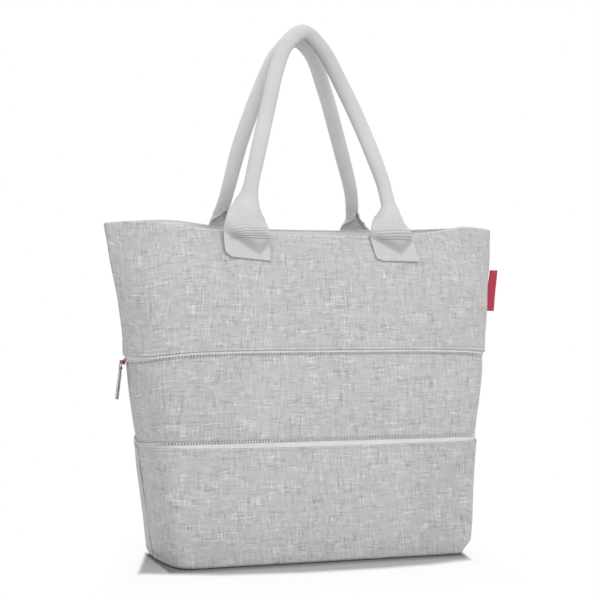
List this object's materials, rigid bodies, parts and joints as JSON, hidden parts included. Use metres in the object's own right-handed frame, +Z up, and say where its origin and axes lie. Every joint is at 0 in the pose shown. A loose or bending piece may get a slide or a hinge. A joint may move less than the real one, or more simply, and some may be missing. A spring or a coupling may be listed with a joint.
{
  "type": "shopper bag",
  "caption": "Tall open tote of melange cloth in tiers, widened by a zipped expansion band, with rolled webbing handles, a zip pull and a plain seam tab.",
  "frame": {"origin": "middle of the base on the floor, where the bag stands", "axes": "+Z up; the front faces -Y; +X to the right seen from the front, towards the seam tab"},
  "size_m": [0.5297, 0.1866, 0.6657],
  "materials": {
    "melange_cloth": "light grey slub weave, matte",
    "zip_tape": "pale grey knitted tape, matte",
    "zip_teeth": "pale grey moulded teeth, satin",
    "webbing": "pale grey ribbed webbing, matte",
    "zip_metal": "red lacquer, satin",
    "pull": "soft grey, matte",
    "ribbon": "red woven ribbon, matte"
  },
  "bodies": {
    "bag": {"upper_front": "melange_cloth", "upper_back": "melange_cloth", "middle_front": "melange_cloth", "middle_back": "melange_cloth", "lower_front": "melange_cloth", "lower_back": "melange_cloth", "base_panel": "melange_cloth", "zip_upper_tape": "zip_tape", "zip_lower_tape": "zip_tape", "zip_upper_teeth": "zip_teeth", "zip_lower_teeth": "zip_teeth", "zip_slider": "zip_metal", "handle_front": "webbing", "handle_back": "webbing", "seam_tab": "ribbon"},
    "pull": {"pull_link": "zip_metal", "pull_tab": "pull"}
  },
  "joints": [
    {"name": "pull_swing", "type": "hinge", "parent": "bag", "child": "pull", "pos_m": [-0.2373, 0, 0.242], "axis": [0, 1, 0], "range_deg": [-18, 165]}
  ]
}
